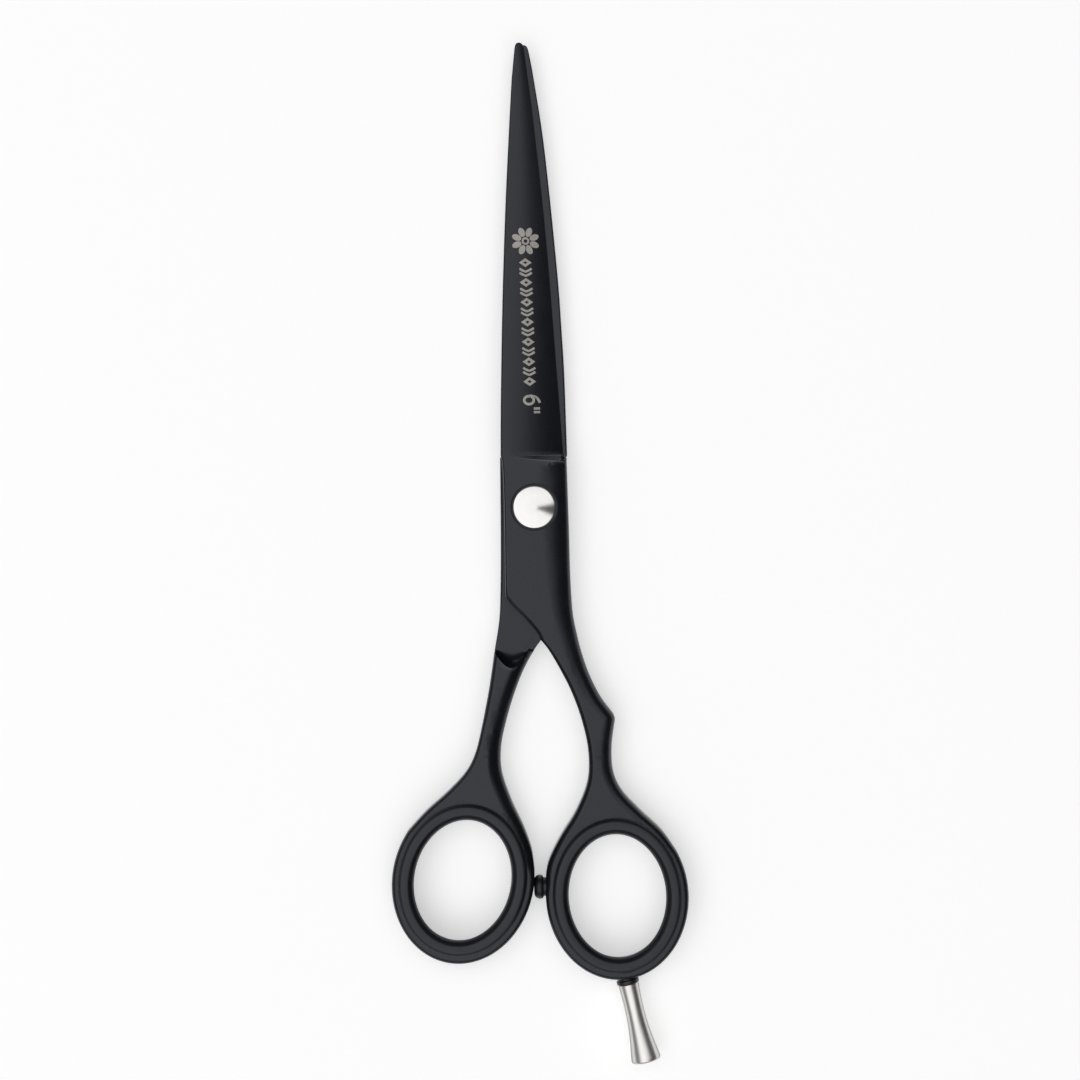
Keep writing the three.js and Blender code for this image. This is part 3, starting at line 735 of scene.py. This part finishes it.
def turned_steel(name, dark, light, roughness, anisotropic, marks, edge):
    """Steel with lathe marks round the piece's own Z axis. Edge is its tint at a grazing angle."""
    material, tree, shader = finish(name, roughness[0], 1.0, 0.5, anisotropic)
    shader.inputs["Specular Tint"].default_value = (edge, edge, edge, 1)
    place = add(tree, "ShaderNodeTexCoord").outputs["Object"]
    parts = add(tree, "ShaderNodeSeparateXYZ", Vector=place).outputs
    squares = [maths(tree, "MULTIPLY", part, part) for part in (parts["X"], parts["Y"])]
    radius = maths(tree, "SQRT", maths(tree, "ADD", *squares))
    groove = add(tree, "ShaderNodeCombineXYZ", X=radius, Z=parts["Z"]).outputs["Vector"]
    fine = add(tree, "ShaderNodeTexNoise", Vector=groove, Scale=marks, Detail=3.0).outputs["Fac"]
    tone = add(tree, "ShaderNodeTexNoise", Vector=groove, Scale=marks / 14, Detail=2.0).outputs["Fac"]
    tinted(tree, shader, tone, dark, light)
    rough(tree, shader, fine, *roughness)
    tangent = add(tree, "ShaderNodeTangent", {"direction_type": "RADIAL", "axis": "Z"})
    tree.links.new(tangent.outputs["Tangent"], shader.inputs["Tangent"])
    bump(tree, shader, fine, 0.03, 0.001)
    return material


def spring_steel():
    material, tree, shader = finish("spring_steel", 0.3, 1.0)
    rolled = noise(tree, 1800, 3, (0.05, 1, 1))
    tinted(tree, shader, rolled, (0.3, 0.31, 0.34), (0.42, 0.42, 0.43))
    rough(tree, shader, rolled, 0.22, 0.4)
    bump(tree, shader, rolled, 0.1, 0.01)
    return material


def white_nylon():
    material, tree, shader = finish("white_nylon", 0.45)
    cloud = noise(tree, 700, 3)
    tinted(tree, shader, cloud, (0.72, 0.69, 0.62), (0.8, 0.78, 0.72))
    shader.inputs["Subsurface Weight"].default_value = 0.15
    shader.inputs["Subsurface Radius"].default_value = (0.0008, 0.0007, 0.0005)
    bump(tree, shader, noise(tree, 3000, 2), 0.1, 0.01)
    return material


def etched_steel():
    """The bare, slightly rough metal of a laser mark."""
    material, tree, shader = finish("etched_steel", 0.5, 0.35)
    scan = noise(tree, 6000, 2, (1, 0.15, 1))
    tinted(tree, shader, scan, (0.46, 0.44, 0.41), (0.6, 0.575, 0.54))
    rough(tree, shader, scan, 0.42, 0.6)
    bump(tree, shader, scan, 0.15, 0.01)
    return material


BLACK_COATING = black_coating()
BLACK_RUBBER = black_rubber()
BLACK_METAL = black_metal()
POLISHED_STEEL = turned_steel(
    "polished_steel", (0.72, 0.71, 0.7), (0.77, 0.76, 0.75), (0.1, 0.13), 0.6, marks=5000, edge=1
)
BRUSHED_STEEL = turned_steel(
    "brushed_steel", (0.78, 0.76, 0.73), (0.82, 0.8, 0.77), (0.3, 0.33), 0.3, marks=3000, edge=0.05
)
SPRING_STEEL = spring_steel()
WHITE_NYLON = white_nylon()
ETCHED_STEEL = etched_steel()


# Turned pieces


def rounded_profile(corners, steps):
    """A closed profile of (radius, height, fillet) corners with each corner rounded by an arc."""
    points = []
    for k, (r, z, fillet) in enumerate(corners):
        here = Vector((r, z))
        if not fillet:
            points.append(here)
            continue
        before = (Vector(corners[k - 1][:2]) - here).normalized()
        after = (Vector(corners[(k + 1) % len(corners)][:2]) - here).normalized()
        half_turn = before.angle(after) / 2
        reach = fillet / math.tan(half_turn)
        centre = here + (before + after).normalized() * fillet / math.sin(half_turn)
        start, end = here + before * reach - centre, here + after * reach - centre
        sweep = start.angle_signed(end)
        for share in np.linspace(0, 1, steps + 1):
            turned_by = Matrix.Rotation(-sweep * share, 2)
            points.append(centre + turned_by @ start)
    return [tuple(p) for p in points]


def turned(profile, sides=128, closed=False):
    """A profile of (radius, height) points turned about Z. An open one starts and ends on the axis."""
    shell = Shell()
    around = circle(1, sides)
    rows = [shell.add([(0, 0, z)]) if r < 1e-6 else shell.level(r * around, z) for r, z in profile]
    pairs = list(zip(rows, rows[1:])) + ([(rows[-1], rows[0])] if closed else [])
    for upper, lower in pairs:
        for i in range(sides):
            j = (i + 1) % sides
            a, b = upper[i % len(upper)], upper[j % len(upper)]
            c, d = lower[j % len(lower)], lower[i % len(lower)]
            corners = list(dict.fromkeys((a, d, c, b)))
            shell.faces.append(tuple(corners))
    return facing_out(shell)


def facing_out(shell):
    """Turns a shell's faces round if they face in."""
    points = np.array(shell.points)
    volume = 0.0
    for face_points in shell.faces:
        a = points[face_points[0]]
        for i, j in zip(face_points[1:], face_points[2:]):
            volume += np.dot(a, np.cross(points[i], points[j]))
    if volume < 0:
        shell.faces = [f[::-1] for f in shell.faces]
    return shell


def pivot_bolt():
    """Domed head, neck and shank, all about the pivot axis."""
    rise = HEAD_TOP - HEAD_RIM
    dome_radius = (HEAD_RADIUS**2 + rise**2) / (2 * rise)
    angles = np.linspace(0, math.asin(HEAD_RADIUS * 0.985 / dome_radius), 22)
    dome = [(dome_radius * math.sin(a), HEAD_TOP - dome_radius * (1 - math.cos(a))) for a in angles]
    rim = [(HEAD_RADIUS - 0.03, HEAD_RIM), (HEAD_RADIUS - 0.03, HEAD_RIM - 0.05)]
    head_bottom = RECESS_FLOOR + 0.05
    neck = [(HEAD_RADIUS - 0.16, PLATE_TOP - 0.1), (HEAD_RADIUS - 0.26, head_bottom), (1.88, head_bottom)]
    shank = [(1.88, RIDE_PLANE + 0.1), (1.95, RIDE_PLANE + 0.05), (1.95, bolt_low.z + 0.3)]
    shell = turned(dome + rim + neck + shank + [(1.6, bolt_low.z), (0, bolt_low.z)], 160)
    replaced = ["pivot_bolt"]
    build("pivot_bolt_fine", shell, POLISHED_STEEL, "finger_side", replaced, sharp=40)


def tension_nut():
    """A notched dial with a turned face, and a hollow hub that reaches into the pocket."""
    low, high = extent("tension_nut")
    radius, notches = high.x, 16
    angles = np.linspace(0, 2 * math.pi, notches * 24, endpoint=False)
    phase = (angles * notches / (2 * math.pi) + 0.5) % 1 - 0.5
    bite = 0.42 * np.sqrt(np.clip(1 - (phase / 0.2) ** 2, 0, 1))
    round_rim = circle(1, len(angles))
    dial = round_rim * (radius - bite)[:, None]
    shell = Shell()
    level = shell.level
    face_rings = [(3.15, low.z), (3.05, low.z + 0.07), (1.55, low.z + 0.07), (1.45, low.z), (0.35, low.z)]
    dial_top = low.z + 0.65
    rows = [level(round_rim * 3.6, dial_top), level(dial * 0.985, dial_top), level(dial, dial_top - 0.07)]
    rows += [level(dial, low.z + 0.12), level(dial * 0.972, low.z)]
    rows += [level(round_rim * r, z) for r, z in face_rings]
    for upper, lower in zip(rows, rows[1:]):
        shell.bridge(upper, lower)
    centre = shell.add([(0, 0, low.z)])[0]
    last = rows[-1]
    shell.faces += [(a, centre, b) for a, b in zip(last, last[1:] + last[:1])]
    hub = level(round_rim * 3.6, high.z)
    bore_top, bore_floor = level(round_rim * 2.0, high.z), level(round_rim * 2.0, low.z + 0.25)
    shell.bridge(hub, rows[0])
    shell.bridge(bore_top, hub)
    shell.bridge(bore_floor, bore_top)
    middle = shell.add([(0, 0, low.z + 0.25)])[0]
    shell.faces += [(b, middle, a) for a, b in zip(bore_floor, bore_floor[1:] + bore_floor[:1])]
    replaced = ["tension_nut"]
    build("tension_nut_fine", facing_out(shell), POLISHED_STEEL, "nut", replaced, sharp=30)


# The flange of an insert: inset from its edge and height from its top, then inset and slope in degrees
FLANGE_EDGE = [
    (0.02, -0.99), (0, -0.95), (0, -0.44), (0.06, -0.35), (0.2, -0.23), (0.37, -0.1), (0.52, -0.04),
    (0.7, -0.01),
]
CROWN_SLOPES = [
    (1.1, 2), (1.5, 5), (1.65, 15), (1.8, 33), (1.95, 40), (2.2, 44), (2.32, 56), (2.4, 62),
    (2.55, 65),
]
HOLE_INSET = 2.55
UNDERCUT = 10.5  # degrees, of the bore below the crown


def ring_insert(name, flange, body):
    """A soft sleeve with a crowned flange over each face of its ring, swept round the ring's ellipse."""
    places, slopes = np.array(CROWN_SLOPES, float).T
    insets = np.linspace(places[0], HOLE_INSET, 26)
    steepness = np.tan(np.radians(np.interp(insets, places, slopes)))
    falls = np.cumsum(steepness) * (insets[1] - insets[0])
    crown = [tuple(p) for p in spline(FLANGE_EDGE[1:], 0.08)]
    crown += [(inset, FLANGE_EDGE[-1][1] - fall) for inset, fall in zip(insets, falls)]
    lip = INSERT_TOP - falls[-1] - 0.06
    waist = [(HOLE_INSET - math.tan(math.radians(UNDERCUT)) * (lip - z), z) for z in (4.8, 3.4, 2.1)]
    upper = [(BORE_INSET + 0.06, -0.95), FLANGE_EDGE[0], *crown, (HOLE_INSET, -falls[-1] - 0.06)]
    lower = [(1.5, 0.55), (1.15, 0.12), (0.8, 0), (0.45, 0.04), (0.14, 0.3), (0, 0.7), (0.02, 0.95)]
    section = [(inset, INSERT_TOP + fall) for inset, fall in upper] + waist + [(1.75, 1.1)]
    section += [tuple(p) for p in spline(lower, 0.1)] + [(BORE_INSET + 0.06, 0.95)]
    edge = ring_points(flange, flange["radius"], np.linspace(0, 2 * math.pi, 240, endpoint=False))
    away = outward(edge)
    shell = Shell()
    rows = [shell.level(edge - away * inset, z) for inset, z in section]
    for upper_row, lower_row in zip(rows, rows[1:] + rows[:1]):
        shell.bridge(upper_row, lower_row)
    build(name + "_fine", facing_out(shell), BLACK_RUBBER, body, [name], sharp=50)


def along_axis(base, direction):
    """A placement, in metres, that takes Z onto a direction, starting at a base point in millimetres."""
    turn = Vector(direction).normalized().to_track_quat("Z", "Y").to_matrix().to_4x4()
    return Matrix.Translation(Vector(base) * MM) @ turn


BUMPER_REACH = 0.08  # how far the soft cap stands out past its core
BUMPER_FOOT = 0.3  # how far its foot is let into the ring


def bumper_cap():
    """The rubber stop on the finger ring, pointing at the thumb ring."""
    low, high = extent("bumper_cap")
    radius, length = (high.y - low.y) / 2, high.x - low.x
    low.x -= BUMPER_REACH
    length += BUMPER_REACH
    foot = length + BUMPER_FOOT
    side = [(0, 0), (0.9, 0.02), (1.4, 0.1), (1.75, 0.36), (radius - 0.02, 0.72), (radius, 0.95)]
    dome = [tuple(p) for p in spline(side, 0.1)]
    neck = [(radius - 0.05, 1.3), (radius - 0.2, 1.46), (radius - 0.42, 1.56), (radius - 0.45, foot)]
    bore = [(0.8, foot), (0.8, length * 0.45), (0, length * 0.45)]
    place = along_axis((low.x, (low.y + high.y) / 2, RIDE_PLANE), (1, 0, 0))
    shell = turned(dome + neck + bore, 96)
    build("bumper_cap_fine", shell, BLACK_RUBBER, "finger_side", ["bumper_cap"], place, 50)


REST_BASE = (13.2, -77.6)  # where the finger rest meets its washer
REST_LEAN = 11.7  # degrees
REST_LENGTH = 12.9


def rest_place():
    lean = math.radians(REST_LEAN)
    return along_axis((*REST_BASE, RIDE_PLANE), (math.sin(lean), -math.cos(lean), 0))


def finger_rest():
    """The flared steel rest, hollow where its stud screws in."""
    side = [
        (1.64, 0.12), (1.6, 1.2), (1.55, 2.4), (1.52, 3.8), (1.54, 5.2), (1.62, 6.8), (1.78, 8.4),
        (1.99, 10), (2.2, 11.3), (2.38, REST_LENGTH - 0.4),
    ]
    flare = [tuple(p) for p in spline(side, 0.25)]
    corner = [(2.36, REST_LENGTH - 0.2), (2.24, REST_LENGTH - 0.07), (2.0, REST_LENGTH)]
    bore = [(0, 4.05), (1.0, 4.05), (1.0, 0.12), (1.1, 0.02), (1.56, 0.02)]
    shell = turned(bore + flare + corner + [(0, REST_LENGTH)], 128)
    place, replaced = rest_place(), ["finger_rest"]
    build("finger_rest_fine", shell, BRUSHED_STEEL, "rest", replaced, place, 40)


def rest_washer():
    """Neck against the ring, and a flange under the rest."""
    neck = [(1.0, -1.3, 0), (1.6, -1.3, 0.05), (1.58, -0.72, 0.06)]
    flange = [(1.82, -0.6, 0.06), (1.84, -0.06, 0.08), (1.0, -0.04, 0)]
    shell = turned(rounded_profile(neck + flange, 4), 96, closed=True)
    place, replaced = rest_place(), ["finger_rest_washer"]
    build("rest_washer_fine", shell, BLACK_METAL, "rest_washer", replaced, place, 40)


# The mark on the upper blade: a plain rosette, a band of lozenges and chevrons, and the size in inches


MARK_OVER = 0.014  # how far the mark stands over the blade
MARK_UNDER = 0.05


def raised(shell, loops, height, closed_band):
    """A thin raised sign: a filled loop, or the band between an outer and an inner loop."""
    tops, bottoms = [], []
    for loop in loops:
        z = height(loop[:, 0], loop[:, 1])
        tops.append(shell.level(loop, z + MARK_OVER))
        bottoms.append(shell.level(loop, z - MARK_UNDER))
    shell.bridge(tops[0], bottoms[0])
    if closed_band:
        shell.bridge(bottoms[1], tops[1])
        shell.bridge(tops[1], tops[0])
        shell.bridge(bottoms[0], bottoms[1])
    else:
        shell.faces.append(tuple(tops[0]))
        shell.faces.append(tuple(reversed(bottoms[0])))


def stroke(line, width):
    """The loop round a line of some width."""
    line = np.array(line, float)
    ahead = np.gradient(line, axis=0)
    ahead /= np.linalg.norm(ahead, axis=1)[:, None]
    side = np.column_stack([-ahead[:, 1], ahead[:, 0]]) * width / 2
    return np.vstack([line - side, (line + side)[::-1]])


def blade_mark():
    height = outer_face(FINGER)
    shell = Shell()
    centre = np.array([-0.29, 43.1])
    core = circle(0.62, 24) + centre
    raised(shell, [core, circle(0.3, 24) + centre], height, True)
    for k in range(8):
        angle = math.radians(45 * k + 22.5)
        turn = np.array([[math.cos(angle), -math.sin(angle)], [math.sin(angle), math.cos(angle)]])
        petal = circle(1, 20) * (0.78, 0.5) + (1.52, 0)
        raised(shell, [petal @ turn.T + centre], height, False)
    top, bottom, axis_top, axis_bottom = 40.4, 19.5, -0.42, -0.2
    units = 13
    pitch = (top - bottom) / units
    lozenge = np.array([(1.03, 0), (0, 0.72), (-1.03, 0), (0, -0.72)])
    chevron = np.array([(-0.98, 0.3), (-0.5, 0), (0, -0.2), (0.5, 0), (0.98, 0.3)])
    for k in range(units):
        y = top - (k + 0.5) * pitch
        x = axis_top + (axis_bottom - axis_top) * (top - y) / (top - bottom)
        if k % 2 == 0:
            raised(shell, [lozenge + (x, y), lozenge * 0.34 + (x, y)], height, True)
        else:
            for shift in (-0.33, 0.33):
                raised(shell, [stroke(chevron + (x, y + shift), 0.36)], height, False)
    six(shell, height)
    facing_out(shell)
    build("blade_mark", shell, ETCHED_STEEL, "finger_side")


def six(shell, height):
    """The blade length in inches, read from the side: a six and two short strokes."""
    bowl = circle(1, 28)
    tail = [(1.75, -0.45), (1.5, 0.1), (1.05, 0.5), (0.45, 0.66), (0.0, 0.68)]
    centre = np.array([-0.4, 17.3])
    raised(shell, [stroke(spline(tail, 0.12) + centre, 0.42)], height, False)
    raised(shell, [bowl * (0.98, 0.86) + centre, bowl * (0.56, 0.44) + centre], height, True)
    for shift in (-0.3, 0.3):
        tick = [(-0.5, shift), (0, shift), (0.5, shift)]
        raised(shell, [stroke(np.array(tick) + (0.85, 15.65), 0.38)], height, False)


turned_thumb = [{**ring, "x": -ring["x"], "lean": -ring["lean"]} for ring in (THUMB_RING, THUMB_FLANGE)]
finger_lines = grown(FINGER, FINGER_GROWTH)
thumb_lines = grown(mirrored(THUMB), THUMB_GROWTH)
half("finger_half", finger_lines, FINGER_RING, FINGER_FLANGE, finger_chain(), False, "finger_side")
half("thumb_half", thumb_lines, *turned_thumb, thumb_chain(), True, "thumb_side")
pivot_bolt()
tension_nut()
ring_insert("finger_ring_insert", FINGER_FLANGE, "finger_side")
ring_insert("thumb_ring_insert", THUMB_FLANGE, "thumb_side")
bumper_cap()
finger_rest()
rest_washer()
blade_mark()

for node, material in {
    "glide_washer": WHITE_NYLON,
    "pivot_bush": WHITE_NYLON,
    "seat_washer": BRUSHED_STEEL,
    "click_spring": SPRING_STEEL,
    "bumper_stud": BRUSHED_STEEL,
    "finger_rest_stud": BRUSHED_STEEL,
}.items():
    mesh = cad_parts[node].data
    mesh.materials.clear()
    mesh.materials.append(material)


# Floor, light and camera


FLOOR_GLOW = 0.455
FLOOR_HALF = 3000
FLOOR_Z = -0.02


def stage_floor():
    material, tree, shader = finish("floor_paper", 0.9, specular=0.2)
    grain = noise(tree, 900, 3)
    tinted(tree, shader, grain, (0.9, 0.9, 0.9), (0.905, 0.905, 0.905))
    shader.inputs["Emission Color"].default_value = (1, 1, 1, 1)
    shader.inputs["Emission Strength"].default_value = FLOOR_GLOW
    shell = Shell()
    corners = [(-1, -1), (1, -1), (1, 1), (-1, 1)]
    shell.faces.append(tuple(shell.add([(x * FLOOR_HALF, y * FLOOR_HALF, FLOOR_Z) for x, y in corners])))
    mesh = bpy.data.meshes.new("floor")
    mesh.from_pydata([tuple(np.array(p) * MM) for p in shell.points], [], shell.faces)
    mesh.materials.append(material)
    floor = linked("floor", mesh)


LIGHT_HEIGHT = 1.2  # metres
LIGHT_SPAN_X = (-40, 3)  # degrees from straight up, towards +X
LIGHT_SPAN_Y = (-44, 33)
LIGHT_RADIANCE = 0.6


def soft_light():
    """One large soft light overhead, mostly to the left."""
    left, right = (LIGHT_HEIGHT * math.tan(math.radians(a)) for a in LIGHT_SPAN_X)
    near, far = (LIGHT_HEIGHT * math.tan(math.radians(a)) for a in LIGHT_SPAN_Y)
    light = bpy.data.lights.new("softbox", "AREA")
    light.shape = "RECTANGLE"
    light.size, light.size_y = right - left, far - near
    light.energy = LIGHT_RADIANCE * math.pi * light.size * light.size_y
    linked("softbox", light).location = ((left + right) / 2, (near + far) / 2, LIGHT_HEIGHT)


# The room's light by its angle from straight up, in degrees: where it fades in and where it is full
ROOM_LEFT, ROOM_RIGHT = (-60, -38), (54, 18)
ROOM_NEAR, ROOM_FAR = (-66, -42), (65, 15)
ROOM_LEVEL = 0.52
WING_LEFT, WING_RIGHT = (0.5, 5.5), (31, 23)  # carries the softbox on to the right, at its radiance
WING_NEAR, WING_FAR = (-50, -38), (40, 26)
SCREEN_START = (1.5, 6)  # a narrow dark screen stands in the light on the right
SCREEN_TURN = 7.5  # degrees from +X towards -Y
SCREEN_HALF = (24, 10)
SCREEN_SHARE = 0.98  # of the light that it holds back
LOW_LIGHT = (0.15, 0.05)  # weak light from the near left, and from the far right


def room():
    """Light above, cut off towards the right and the tips. The camera itself sees a pale room."""
    world = bpy.data.worlds.new("room")
    world.use_nodes = True
    tree = world.node_tree
    tree.nodes.clear()
    direction = add(tree, "ShaderNodeTexCoord").outputs["Generated"]
    parts = add(tree, "ShaderNodeSeparateXYZ", Vector=direction).outputs

    def fade(value, start, end, low=0.0, high=1.0):
        settings = {"interpolation_type": "SMOOTHSTEP"}
        limits = {"From_Min": start, "From_Max": end, "To_Min": low, "To_Max": high}
        return add(tree, "ShaderNodeMapRange", settings, Value=value, **limits).outputs["Result"]

    def product(*values):
        result = values[0]
        for value in values[1:]:
            result = maths(tree, "MULTIPLY", result, value)
        return result

    def window(left, right, near, far, level):
        """A rectangle of light with soft edges, by its angles."""
        sides = [fade(across, *np.radians(side)) for side in (left, right)]
        ends = [fade(along, *np.radians(end)) for end in (near, far)]
        return product(*sides, *ends, level)

    across = maths(tree, "ARCTAN2", parts["X"], parts["Z"])
    along = maths(tree, "ARCTAN2", parts["Y"], parts["Z"])
    around = maths(tree, "ARCTAN2", parts["Y"], parts["X"])
    overhead = window(ROOM_LEFT, ROOM_RIGHT, ROOM_NEAR, ROOM_FAR, ROOM_LEVEL)
    wing = window(WING_LEFT, WING_RIGHT, WING_NEAR, WING_FAR, LIGHT_RADIANCE)
    beside = maths(tree, "ABSOLUTE", maths(tree, "ADD", around, math.radians(SCREEN_TURN)))
    cover = fade(beside, *np.radians(SCREEN_HALF))
    screen = product(fade(across, *np.radians(SCREEN_START)), cover, SCREEN_SHARE)
    unscreened = maths(tree, "SUBTRACT", 1, screen)
    slant = maths(tree, "ADD", product(parts["X"], 0.85), product(parts["Y"], 0.5))
    low_light = fade(slant, -0.5, 0.45, *LOW_LIGHT)
    level = maths(tree, "ADD", product(maths(tree, "ADD", overhead, wing), unscreened), low_light)
    lit = add(tree, "ShaderNodeBackground", Color=(1, 1, 1, 1), Strength=level)
    seen = add(tree, "ShaderNodeBackground", Color=(0.93, 0.93, 0.93, 1), Strength=1.0)
    path = add(tree, "ShaderNodeLightPath").outputs["Is Camera Ray"]
    mixed = add(tree, "ShaderNodeMixShader", Fac=path)
    tree.links.new(lit.outputs[0], mixed.inputs[1])
    tree.links.new(seen.outputs[0], mixed.inputs[2])
    add(tree, "ShaderNodeOutputWorld", Surface=mixed.outputs[0])
    bpy.context.scene.world = world


VIEW_WIDTH = 175.4  # seen across, in the plane where the halves meet
VIEW_DISTANCE = 355
VIEW_CENTRE = (0.78, -5.33)
VIEW_ROLL = 1.52  # degrees


def camera():
    data = bpy.data.cameras.new("camera")
    data.sensor_width = 36
    data.lens = data.sensor_width * VIEW_DISTANCE / VIEW_WIDTH
    data.clip_start, data.clip_end = 0.01, 20
    made = linked("camera", data)
    made.location = Vector((*VIEW_CENTRE, RIDE_PLANE + VIEW_DISTANCE)) * MM
    made.rotation_euler = (0, 0, -math.radians(VIEW_ROLL))
    bpy.context.scene.camera = made


stage_floor()
soft_light()
room()
camera()
bpy.context.scene.view_settings.view_transform = "Standard"
